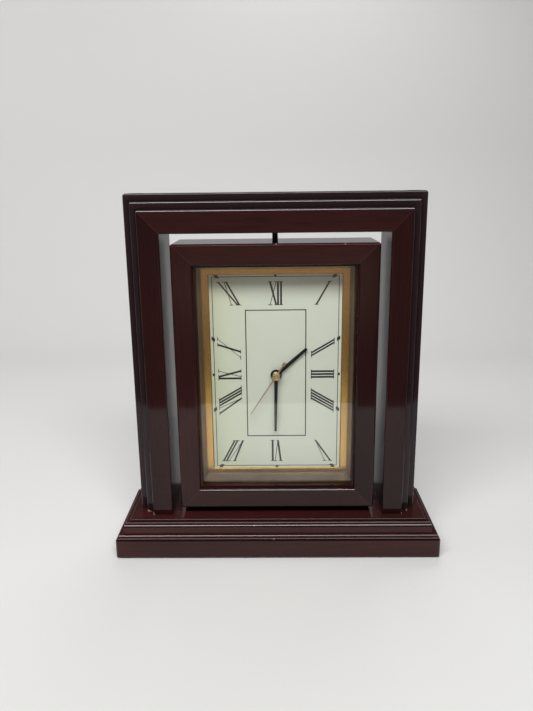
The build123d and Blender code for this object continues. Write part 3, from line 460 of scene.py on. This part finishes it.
# Metals and paints
def make_brass():
    """Satin brass with fine brush lines, a little tarnish, and painted shade on the bevel where it faces up or
    down.
    """
    brass = Surface("brass", Metallic=1.0)
    # Painted shade on the bevel where it faces up or down
    bevel = brass.span(brass.math("ABSOLUTE", brass.facing(UP)), 0.2, 0.5)
    lines = brass.noise(2600, along("X", 0.02), 2)
    tarnish = brass.span(brass.noise(25, detail=3), 0.4, 0.75, 0.0, 0.3)
    colour = brass.mix(tarnish, (0.82, 0.48, 0.13, 1), (0.68, 0.38, 0.10, 1))
    colour = brass.mix(bevel, colour, (0.52, 0.33, 0.105, 1))
    return brass.finish(Base_Color=colour, Roughness=brass.span(lines, 0.3, 0.7, 0.23, 0.26))


def make_turned_brass():
    """Brass cap of the hands, with rings from the lathe."""
    brass = Surface("turned_brass", Metallic=1.0)
    on_plane = brass.vector("MULTIPLY", brass.place, (1, 0, 1))
    radius = brass.vector("DISTANCE", on_plane, DIAL_CENTRE, "Value")
    rings = brass.math("SINE", brass.product(radius, 2 * math.pi / (0.55 * MM)))
    marks = brass.noise(300, detail=4)
    colour = brass.mix(brass.span(marks, 0.4, 0.7, 0.0, 0.5), (0.88, 0.68, 0.36, 1), (0.66, 0.46, 0.20, 1))
    brass.bump(rings, 0.25, 0.05 * MM)
    return brass.finish(Base_Color=colour, Roughness=brass.span(marks, 0.3, 0.7, 0.2, 0.34))


def make_metal(name, dark, light, roughness):
    """Plain metal with fine scratches and uneven shine."""
    metal = Surface(name, Metallic=1.0)
    marks = metal.noise(900, (1, 1, 0.2), 5)
    colour = metal.mix(metal.span(metal.noise(80, detail=4), 0.3, 0.7), dark, light)
    metal.bump(marks, 0.1, 0.02 * MM)
    uneven = metal.span(marks, 0.3, 0.7, roughness - 0.06, roughness + 0.08)
    return metal.finish(Base_Color=colour, Roughness=uneven)


def make_paint(name, dark, light, roughness, specular=0.5):
    """Sprayed paint with a slight orange peel."""
    paint = Surface(name, Specular_IOR_Level=specular)
    peel = paint.noise(700, detail=3)
    colour = paint.mix(paint.span(paint.noise(35, detail=5), 0.3, 0.7), dark, light)
    wear_and_highlight = paint.product(paint.edges(0.15 * MM), paint.span(paint.noise(400), 0.5, 0.7))
    colour = paint.mix(paint.product(wear_and_highlight, 0.25), colour, (0.35, 0.35, 0.36, 1))
    paint.bump(peel, 0.08, 0.03 * MM)
    uneven = paint.span(peel, 0.3, 0.7, roughness - 0.05, roughness + 0.07)
    return paint.finish(Base_Color=colour, Roughness=uneven)


def make_copper_paint():
    """Copper-coloured flake paint of the second hand."""
    copper = Surface("hand_copper", Metallic=0.75)
    flakes = copper.noise(2500, detail=2)
    colour = copper.mix(copper.span(flakes, 0.3, 0.7), (0.38, 0.24, 0.13, 1), (0.54, 0.37, 0.22, 1))
    return copper.finish(Base_Color=colour, Roughness=copper.span(flakes, 0.3, 0.7, 0.35, 0.5))


def make_coil():
    """Enamelled copper wire, wound in turns round the core."""
    coil = Surface("copper_wire", Metallic=0.9)
    turns = coil.math("SINE", coil.product(coil.coordinate(RIGHT), 2 * math.pi / (0.25 * MM)))
    shade = coil.noise(400, detail=3)
    colour = coil.mix(coil.span(shade, 0.3, 0.7), (0.45, 0.17, 0.07, 1), (0.70, 0.32, 0.14, 1))
    coil.bump(turns, 0.6, 0.08 * MM)
    return coil.finish(Base_Color=colour, Roughness=coil.span(shade, 0.3, 0.7, 0.25, 0.4))


# Dial, glass and plastics
def make_dial_paint():
    """Pale ivory print stock, a little yellowed towards its left edge."""
    dial = Surface("dial")
    fibre = dial.noise(1400, detail=3)
    cloud = dial.noise(14, detail=4)
    colour = dial.mix(dial.span(cloud, 0.3, 0.7), (0.635, 0.645, 0.545, 1), (0.665, 0.67, 0.585, 1))
    yellowed = dial.span(dial.coordinate(RIGHT), DIAL_LOW.x, DIAL_LOW.x * 0.2, 0.85, 0.0)
    colour = dial.mix(yellowed, colour, (0.63, 0.65, 0.42, 1))
    colour = dial.mix(dial.span(fibre, 0.3, 0.7, 0.0, 0.12), colour, (0.5, 0.52, 0.42, 1))
    dial.bump(fibre, 0.06, 0.03 * MM)
    return dial.finish(Base_Color=colour, Roughness=dial.span(fibre, 0.3, 0.7, 0.5, 0.62))


def make_ink():
    """Black print, a little uneven in its cover."""
    ink = Surface("ink")
    cover = ink.noise(2200, detail=3)
    colour = ink.mix(ink.span(cover, 0.35, 0.75), (0.003, 0.003, 0.0035, 1), (0.009, 0.009, 0.0095, 1))
    return ink.finish(Base_Color=colour, Roughness=ink.span(cover, 0.3, 0.7, 0.4, 0.55))


def make_glass():
    """Clear pane: its front face mirrors, and light passes straight through."""
    material = bpy.data.materials.new("glass")
    material.use_nodes = True
    glass = Nodes(material.node_tree)
    glass.tree.nodes.remove(glass.tree.nodes["Principled BSDF"])
    place = glass.add("ShaderNodeTexCoord").outputs["Object"]
    haze = glass.add("ShaderNodeTexNoise", {"Vector": place, "Scale": 45, "Detail": 6}).outputs["Fac"]
    roughness = glass.span(haze, 0.35, 0.8, 0.0, 0.06)
    clear = glass.add("ShaderNodeBsdfTransparent", {"Color": (0.975, 0.988, 0.98, 1)}).outputs[0]
    mirror = glass.add("ShaderNodeBsdfGlossy", {"Color": (1, 1, 1, 1), "Roughness": roughness}).outputs[0]
    fresnel = glass.add("ShaderNodeFresnel", {"IOR": 1.75}).outputs[0]
    backfacing = glass.add("ShaderNodeNewGeometry").outputs["Backfacing"]
    share = glass.product(fresnel, glass.math("SUBTRACT", 1.0, backfacing))
    shader = glass.add("ShaderNodeMixShader", {0: share, 1: clear, 2: mirror}).outputs[0]
    glass.put(glass.tree.nodes["Material Output"], "Surface", shader)
    return material


def make_plastic(name, dark, light, roughness):
    """Moulded plastic with a fine spark texture."""
    plastic = Surface(name)
    spark = plastic.noise(1600, detail=2)
    flow = plastic.noise(30, detail=5, distortion=1.0)
    colour = plastic.mix(plastic.span(flow, 0.3, 0.7), dark, light)
    dusty = plastic.product(plastic.edges(0.4 * MM), 0.2)
    colour = plastic.mix(dusty, colour, (0.20, 0.20, 0.20, 1))
    plastic.bump(spark, 0.3, 0.05 * MM)
    uneven = plastic.span(spark, 0.3, 0.7, roughness - 0.06, roughness + 0.08)
    return plastic.finish(Base_Color=colour, Roughness=uneven)


def make_cell():
    """Battery: bare steel ends, a grey printed sleeve and a pale ring at its positive end."""
    cell = Surface("cell", Coat_Weight=0.3)
    length = BATTERY_HIGH.x - BATTERY_LOW.x
    share = cell.math("DIVIDE", cell.math("SUBTRACT", cell.coordinate(RIGHT), BATTERY_LOW.x), length)
    sleeve = cell.product(cell.span(share, 0.045, 0.05), cell.span(share, 0.985, 0.98))
    ring = cell.product(cell.span(share, 0.14, 0.142), cell.span(share, 0.232, 0.23))
    marks = cell.noise(500, detail=4)
    paint = cell.mix(cell.span(marks, 0.3, 0.7), (0.030, 0.036, 0.045, 1), (0.050, 0.058, 0.070, 1))
    paint = cell.mix(ring, paint, (0.55, 0.56, 0.55, 1))
    colour = cell.mix(sleeve, (0.62, 0.62, 0.60, 1), paint)
    bare = cell.math("SUBTRACT", 1.0, sleeve)
    return cell.finish(Base_Color=colour, Metallic=bare, Roughness=cell.span(marks, 0.3, 0.7, 0.26, 0.38))


# Mitres of the frame, each from its outer (x, z) corner to its inner one
FRAME_LEFT = ((OUTER_X, LINTEL_HIGH.z), (INNER_X, LINTEL_LOW.z))
FRAME_RIGHT = ((-OUTER_X, LINTEL_HIGH.z), (-INNER_X, LINTEL_LOW.z))


def case_mitre(side, end):
    """45 degree mitre at a corner of the case, from the corner inwards."""
    x, z = side * CASE_TOP_CORNER.x, CASE_TOP_CORNER.z if end > 0 else CASE_BOTTOM
    return (x, z), (x - side * MM, z - end * MM)


def chip(x, y, z, radius):
    """Chipped spot, given in millimetres."""
    return Vector((x, y, z)) * MM, radius * MM


# What each wooden member shows: grain axis, tone, mitres and chips
WOOD = {
    "base_slab": (
        "X", 1.1, (),
        [chip(-2.5, -42, 16.2, 0.9), chip(41, -41.9, 16.3, 0.6), chip(-9, -41.6, 16.5, 0.5)],
    ),
    "base_step": ("X", 1.1, (), [chip(-17, -36.6, 24.2, 0.6), chip(66, -36.7, 24.2, 0.5)]),
    "left_jamb": (
        "Z", 0.58, [FRAME_LEFT],
        [chip(-99.6, -18.2, 26.4, 1.7), chip(-97.0, -18.3, 26.2, 1.0), chip(-94.6, -23.3, 26.4, 1.9)],
    ),
    "right_jamb": ("Z", 0.5, [FRAME_RIGHT], [chip(99.6, -18.2, 26.6, 1.5), chip(94.6, -23.3, 26.4, 1.3)]),
    "lintel": ("X", 1.15, [FRAME_LEFT, FRAME_RIGHT], []),
    "case_top_rail": (
        "X", 0.92, [case_mitre(-1, 1), case_mitre(1, 1)],
        [chip(0.6, -22.9, 230, 0.8), chip(47.9, -22.9, 230, 0.7)],
    ),
    "case_bottom_rail": ("X", 0.85, [case_mitre(-1, -1), case_mitre(1, -1)], [chip(52, -22.9, 46.6, 0.4)]),
    "case_left_stile": ("Z", 0.75, [case_mitre(-1, 1), case_mitre(-1, -1)], [chip(-72.1, -22.9, 92, 0.4)]),
    "case_right_stile": ("Z", 0.56, [case_mitre(1, 1), case_mitre(1, -1)], [chip(72.2, -22.9, 175, 0.35)]),
}

# Finishes by the record's material slots
FINISHES = {
    "liner_wood": make_liner_wood(),
    "felt": make_felt(),
    "brass": make_brass(),
    "black_steel": make_paint("black_steel", (0.010, 0.010, 0.011, 1), (0.024, 0.023, 0.023, 1), 0.35),
    "hand_black": make_paint("hand_black", (0.002, 0.002, 0.003, 1), (0.005, 0.005, 0.006, 1), 0.6, 0.2),
    "hand_copper": make_copper_paint(),
    "steel": make_metal("steel", (0.48, 0.48, 0.47, 1), (0.66, 0.66, 0.65, 1), 0.3),
    "iron": make_metal("iron", (0.20, 0.20, 0.20, 1), (0.34, 0.34, 0.34, 1), 0.45),
    "copper_wire": make_coil(),
    "glass": make_glass(),
    "dial": make_dial_paint(),
    "hardboard": make_hardboard(),
    "black_plastic": make_plastic("black_plastic", (0.016, 0.016, 0.017, 1), (0.028, 0.028, 0.029, 1), 0.48),
    "gear_plastic": make_plastic("gear_plastic", (0.62, 0.60, 0.52, 1), (0.74, 0.72, 0.64, 1), 0.4),
    "circuit": make_plastic("circuit", (0.010, 0.070, 0.028, 1), (0.022, 0.120, 0.050, 1), 0.35),
    "cell": make_cell(),
}
INK = make_ink()
MARK_PLASTIC = make_plastic("mark_plastic", (0.10, 0.10, 0.10, 1), (0.14, 0.14, 0.14, 1), 0.5)


def dress(node, material):
    """Give a CAD node its one material."""
    mesh = NODES[node].data
    mesh.materials.clear()
    mesh.materials.append(material)


for part in frame["record"]["subparts"]:
    if part["node"] not in WOOD:
        dress(part["node"], FINISHES[part["material_slot"]])
for seed, (node, member) in enumerate(WOOD.items(), 1):
    dress(node, make_mahogany(node, seed, *member))
dress("second_cap", make_turned_brass())


# Mesh helpers
def new_piece(name, mesh_maker, material, body):
    """A mesh object that rides on a body of the clock."""
    mesh = bpy.data.meshes.new(name)
    shape = bmesh.new()
    mesh_maker(shape)
    bmesh.ops.recalc_face_normals(shape, faces=shape.faces)
    shape.to_mesh(mesh)
    shape.free()
    piece = bpy.data.objects.new(name, mesh)
    bpy.context.scene.collection.objects.link(piece)
    mesh.materials.append(material)
    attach(piece, body)


def add_stack(shape, layers):
    """Add a solid from outlines of as many points each, capped at both ends."""
    rings = [[shape.verts.new(point) for point in layer] for layer in layers]
    shape.faces.new(rings[0])
    shape.faces.new(reversed(rings[-1]))
    for lower, upper in zip(rings, rings[1:]):
        for index in range(len(lower)):
            after = (index + 1) % len(lower)
            shape.faces.new((lower[after], lower[index], upper[index], upper[after]))


def add_prism(shape, outline, front, back):
    """Add a solid with an (x, z) outline between two depths, all in metres."""
    add_stack(shape, [[(x, depth, z) for x, z in outline] for depth in (front, back)])


def add_print(shape, points):
    """Add a patch of ink with an outline in millimetres from the dial's centre."""
    outline = [(x * MM, CENTRE_Z + z * MM) for x, z in points]
    add_prism(shape, outline, DIAL_FRONT - INK_THICKNESS * MM, DIAL_FRONT)


# Dial print
def add_rectangle(shape, half_width, half_height, line):
    """Add a rectangle drawn with a line of even thickness."""
    inner_x, inner_z = half_width - line / 2, half_height - line / 2
    outer_x, outer_z = half_width + line / 2, half_height + line / 2
    for sign in (-1, 1):
        low, high = sign * inner_z, sign * outer_z
        add_print(shape, [(-outer_x, low), (outer_x, low), (outer_x, high), (-outer_x, high)])
        near, far = sign * inner_x, sign * outer_x
        add_print(shape, [(near, -inner_z), (far, -inner_z), (far, inner_z), (near, inner_z)])


def letter_strokes(text):
    """Strokes of a Roman numeral as (foot, head, width), centred on 0."""
    strokes = []
    cursor = 0.0
    previous = ""
    for letter in text:
        if previous:
            cursor += I_PITCH if previous == letter else LETTER_GAPS[previous]
        if letter == "I":
            strokes.append((cursor, cursor, STROKE))
        elif letter == "V":
            strokes.append((cursor + V_WIDTH / 2, cursor, STROKE))
            strokes.append((cursor + V_WIDTH / 2, cursor + V_WIDTH, HAIRLINE))
            cursor += V_WIDTH
        else:
            strokes.append((cursor + X_WIDTH, cursor, STROKE))
            strokes.append((cursor, cursor + X_WIDTH, HAIRLINE))
            cursor += X_WIDTH
        previous = letter
    return [(foot - cursor / 2, head - cursor / 2, width) for foot, head, width in strokes]


def add_numeral(shape, text, middle, up):
    """Add a numeral that leans so that it points from the dial's centre."""
    right = Vector((up.y, -up.x))
    lean = middle.dot(right) / middle.dot(up)

    def spot(across, height):
        return middle + right * (across + lean * height) + up * height

    half = NUMERAL_HEIGHT / 2
    for foot, head, width in letter_strokes(text):
        add_print(shape, [
            spot(foot - width / 2, -half), spot(foot + width / 2, -half),
            spot(head + width / 2, half), spot(head - width / 2, half),
        ])
        ends = [(head, half - SERIF_THICKNESS, half)]
        if not (text.startswith("V") and foot != head):
            ends.append((foot, -half, SERIF_THICKNESS - half))
        for place, low, high in ends:
            add_print(shape, [
                spot(place - SERIF_REACH, low), spot(place + SERIF_REACH, low),
                spot(place + SERIF_REACH, high), spot(place - SERIF_REACH, high),
            ])


def dial_places():
    """For each hour from twelve on, its side of the dial: the way out, and the share along that side."""
    sides = (Vector((0, 1)), Vector((1, 0)), Vector((0, -1)), Vector((-1, 0)))
    return [(sides[(hour + 1) % 12 // 3], (hour + 1) % 3 - 1) for hour in range(12)]


def add_numerals(shape):
    """Add the twelve numerals, in rows above and below and columns at the sides."""
    for hour, (up, share) in enumerate(dial_places()):
        right = Vector((up.y, -up.x))
        distance, offset = (ROW_DISTANCE, ROW_OFFSET) if up.x == 0 else (COLUMN_DISTANCE, COLUMN_OFFSET)
        middle = up * distance + right * offset * share + Vector((NUMERAL_SHIFTS.get(hour, 0.0), 0))
        add_numeral(shape, NUMERALS[hour], middle, up)


def add_markers(shape):
    """Add a block on the outer line for each hour, which leans from the dial's centre."""
    for up, share in dial_places():
        right = Vector((up.y, -up.x))
        distance, offset = OUTER_LINE[up.x == 0], MARKER_PLACES[up.x != 0] * share
        width, low, high = CORNER_MARKER if share else MIDDLE_MARKER
        middle = up * distance + right * offset
        lean = offset / distance
        add_print(shape, [
            middle + right * (reach * width / 2 + lean * level) + up * level
            for reach, level in ((-1, low), (1, low), (1, high), (-1, high))
        ])


new_piece("dial_outer_line", lambda shape: add_rectangle(shape, *OUTER_LINE), INK, "case")
new_piece("dial_inner_line", lambda shape: add_rectangle(shape, *INNER_LINE), INK, "case")
new_piece("dial_numerals", add_numerals, INK, "case")
new_piece("dial_markers", add_markers, INK, "case")


# Details of the back
def ring_points(centre, radius, depth, cut):
    """Outline of a disc at a depth, or of the part of it beyond a cut along its middle."""
    start = math.asin(cut / radius) if cut else 0.0
    sweep = math.pi - 2 * start if cut else 2 * math.pi
    gaps = RING_POINTS - 1 if cut else RING_POINTS
    angles = [start + sweep * step / gaps for step in range(RING_POINTS)]
    return [(centre.x + radius * math.cos(a), depth, centre.y + radius * math.sin(a)) for a in angles]


def add_screw(shape, centre, seat, turn):
    """Add a slotted pan head that stands on a panel, its slot turned by an angle."""
    rim = (seat, seat + SCREW_RIM * MM)
    add_stack(shape, [ring_points(centre, SCREW_RADIUS * MM, depth, 0) for depth in rim])
    pivot = Vector((centre.x, seat, centre.y))
    cut = SCREW_SLOT_HALF * MM
    for half_turn in (0, math.pi):
        first = len(shape.verts)
        add_stack(shape, [ring_points(centre, r * MM, seat + height * MM, cut) for r, height in SCREW_DOME])
        shape.verts.ensure_lookup_table()
        matrix = Matrix.Rotation(turn + half_turn, 3, "Y")
        bmesh.ops.rotate(shape, cent=pivot, matrix=matrix, verts=shape.verts[first:])


def add_panel_screws(shape):
    """Add a screw at each corner of the back panel."""
    inset = SCREW_INSET * MM
    turns = iter(SCREW_TURNS)
    for x in (PANEL_LOW.x + inset, PANEL_HIGH.x - inset):
        for z in (PANEL_LOW.z + inset, PANEL_HIGH.z - inset):
            add_screw(shape, Vector((x, z)), PANEL_HIGH.y, next(turns))


def add_mark(shape, points):
    """Add a raised mark on the rear cover with an (x, z) outline in metres."""
    add_prism(shape, points, COVER_HIGH.y, COVER_HIGH.y + MARK_HEIGHT * MM)


def add_polarity_marks(shape):
    """Add a plus and a minus above the two ends of the battery."""
    level = COVER_LOW.z + SIGN_RISE * MM
    inset = SIGN_INSET * MM
    arm, half = SIGN_ARM * MM, SIGN_HALF_WIDTH * MM
    minus = [(-arm, -half), (arm, -half), (arm, half), (-arm, half)]
    plus = [
        (-arm, -half), (-half, -half), (-half, -arm), (half, -arm), (half, -half), (arm, -half),
        (arm, half), (half, half), (half, arm), (-half, arm), (-half, half), (-arm, half),
    ]
    for x, sign in ((BATTERY_LOW.x + inset, plus), (BATTERY_HIGH.x - inset, minus)):
        add_mark(shape, [(x + across, level + up) for across, up in sign])


def add_knob_arrows(shape):
    """Add two arrows that run round the setting knob."""
    middle = (KNOB_LOW + KNOB_HIGH) / 2
    radius = (KNOB_HIGH.x - KNOB_LOW.x) / 2 + ARROW_GAP * MM
    width, wide = ARROW_HALF_WIDTH * MM, ARROW_HEAD_HALF_WIDTH * MM
    for start in ARROW_STARTS:
        angles = [math.radians(start + ARROW_PITCH * step) for step in range(ARROW_POINTS)]
        outer = [(radius + width, angle) for angle in angles]
        inner = [(radius - width, angle) for angle in reversed(angles)]
        tip = angles[-1]
        head = [(radius + wide, tip), (radius, tip + math.radians(ARROW_HEAD_SWEEP)), (radius - wide, tip)]
        add_mark(shape, [
            (middle.x + r * math.cos(angle), middle.z + r * math.sin(angle))
            for r, angle in outer + head + inner
        ])


new_piece("panel_screws", add_panel_screws, FINISHES["steel"], "case")
new_piece("polarity_marks", add_polarity_marks, MARK_PLASTIC, "case")
new_piece("knob_arrows", add_knob_arrows, MARK_PLASTIC, "case")


# Stage, light and camera
def make_sheet(name, sides, profile, paper):
    """Sheet of pale paper that follows a (y, z) profile between two sides."""
    corners = [(x, y, z) for y, z in profile for x in sides]
    faces = [(2 * i, 2 * i + 1, 2 * i + 3, 2 * i + 2) for i in range(len(profile) - 1)]
    mesh = bpy.data.meshes.new(name)
    mesh.from_pydata(corners, [], faces)
    for face in mesh.polygons:
        face.use_smooth = True
    mesh.materials.append(paper)
    sheet = bpy.data.objects.new(name, mesh)
    bpy.context.scene.collection.objects.link(sheet)
    return sheet


def make_paper():
    """Pale embossed paper that fades into the background, for the camera alone, far from the clock."""
    paper = Surface("floor", Roughness=0.7, Specular_IOR_Level=0.25)
    paper.bump(paper.noise(220, detail=3, distortion=2.0), 0.12, 0.3 * MM)
    aside = paper.math("ABSOLUTE", paper.coordinate(RIGHT))
    nearer = paper.coordinate(FRONT)
    far = paper.math("MAXIMUM", paper.span(aside, *SIDE_FADE), paper.span(nearer, *FRONT_FADE))
    camera = paper.add("ShaderNodeLightPath").outputs["Is Camera Ray"]
    cover = paper.math("SUBTRACT", 1.0, paper.product(far, camera))
    return paper.finish(Base_Color=FLOOR_COLOUR, Alpha=cover)


def make_stage():
    """Sweep under and behind the clock, and further sheets that its gloss does not mirror."""
    paper = make_paper()
    sweep = [(TABLE_EDGE, 0.0), (SWEEP_BACK, 0.0)]
    for step in range(1, COVE_STEPS + 1):
        angle = math.pi / 2 * step / COVE_STEPS
        sweep.append((SWEEP_BACK + COVE_RADIUS * math.sin(angle), COVE_RADIUS * (1 - math.cos(angle))))
    sweep.append((SWEEP_BACK + COVE_RADIUS, WALL_HEIGHT))
    make_sheet("floor", (-SWEEP_HALF_WIDTH, SWEEP_HALF_WIDTH), sweep, paper)
    left = make_sheet("floor_left", (-SHEET_HALF_WIDTH, -SWEEP_HALF_WIDTH), sweep, paper)
    right = make_sheet("floor_right", (SWEEP_HALF_WIDTH, SHEET_HALF_WIDTH), sweep, paper)
    near = [(FRONT_REACH, 0.0), (TABLE_EDGE, 0.0)]
    front = make_sheet("floor_front", (-SHEET_HALF_WIDTH, SHEET_HALF_WIDTH), near, paper)
    front.visible_diffuse = False
    for sheet in (left, right, front):
        sheet.visible_glossy = False


def make_world():
    """Pale behind the clock as the camera sees it, and a dim room in the light, warm in front of the clock."""
    world = bpy.data.worlds.new("room")
    bpy.context.scene.world = world
    world.use_nodes = True
    nodes = Nodes(world.node_tree)
    way = nodes.add("ShaderNodeTexCoord").outputs["Generated"]
    level = nodes.dot(way, UP)
    aside = nodes.math("ABSOLUTE", nodes.dot(way, RIGHT))
    warm = nodes.product(
        nodes.span(level, *WARM_BOTTOM), nodes.span(level, *WARM_TOP), nodes.span(aside, *WARM_SIDE)
    )
    camera = nodes.add("ShaderNodeLightPath").outputs["Is Camera Ray"]
    colour = nodes.mix(camera, nodes.mix(warm, ROOM, WARM_ROOM), BACKGROUND)
    nodes.put(world.node_tree.nodes["Background"], "Color", colour)


def make_lamp(name, place, target, size, power):
    """Soft rectangular lamp aimed at a point."""
    lamp = bpy.data.lights.new(name, "AREA")
    lamp.shape = "RECTANGLE"
    lamp.size, lamp.size_y = size
    lamp.energy = power
    holder = bpy.data.objects.new(name, lamp)
    bpy.context.scene.collection.objects.link(holder)
    holder.visible_camera = False
    holder.location = place
    aim = Vector(target) - Vector(place)
    holder.rotation_euler = aim.to_track_quat("-Z", "Y").to_euler()


def make_camera():
    """Camera at the photographer's place."""
    camera = bpy.data.cameras.new("camera")
    camera.sensor_width = SENSOR
    camera.lens = FOCAL_PIXELS * SENSOR / max(IMAGE_SIZE)
    camera.clip_start = CAMERA_CLIP
    holder = bpy.data.objects.new("camera", camera)
    bpy.context.scene.collection.objects.link(holder)
    turn = Matrix.Rotation(CAMERA_YAW, 4, "Z") @ Matrix.Rotation(math.pi / 2 - CAMERA_PITCH, 4, "X")
    holder.matrix_world = Matrix.Translation(CAMERA_PLACE) @ turn @ Matrix.Rotation(CAMERA_ROLL, 4, "Z")
    bpy.context.scene.camera = holder


make_stage()
make_world()
for lamp in LAMPS:
    make_lamp(*lamp)
make_camera()
bpy.context.scene.view_settings.view_transform = "Standard"
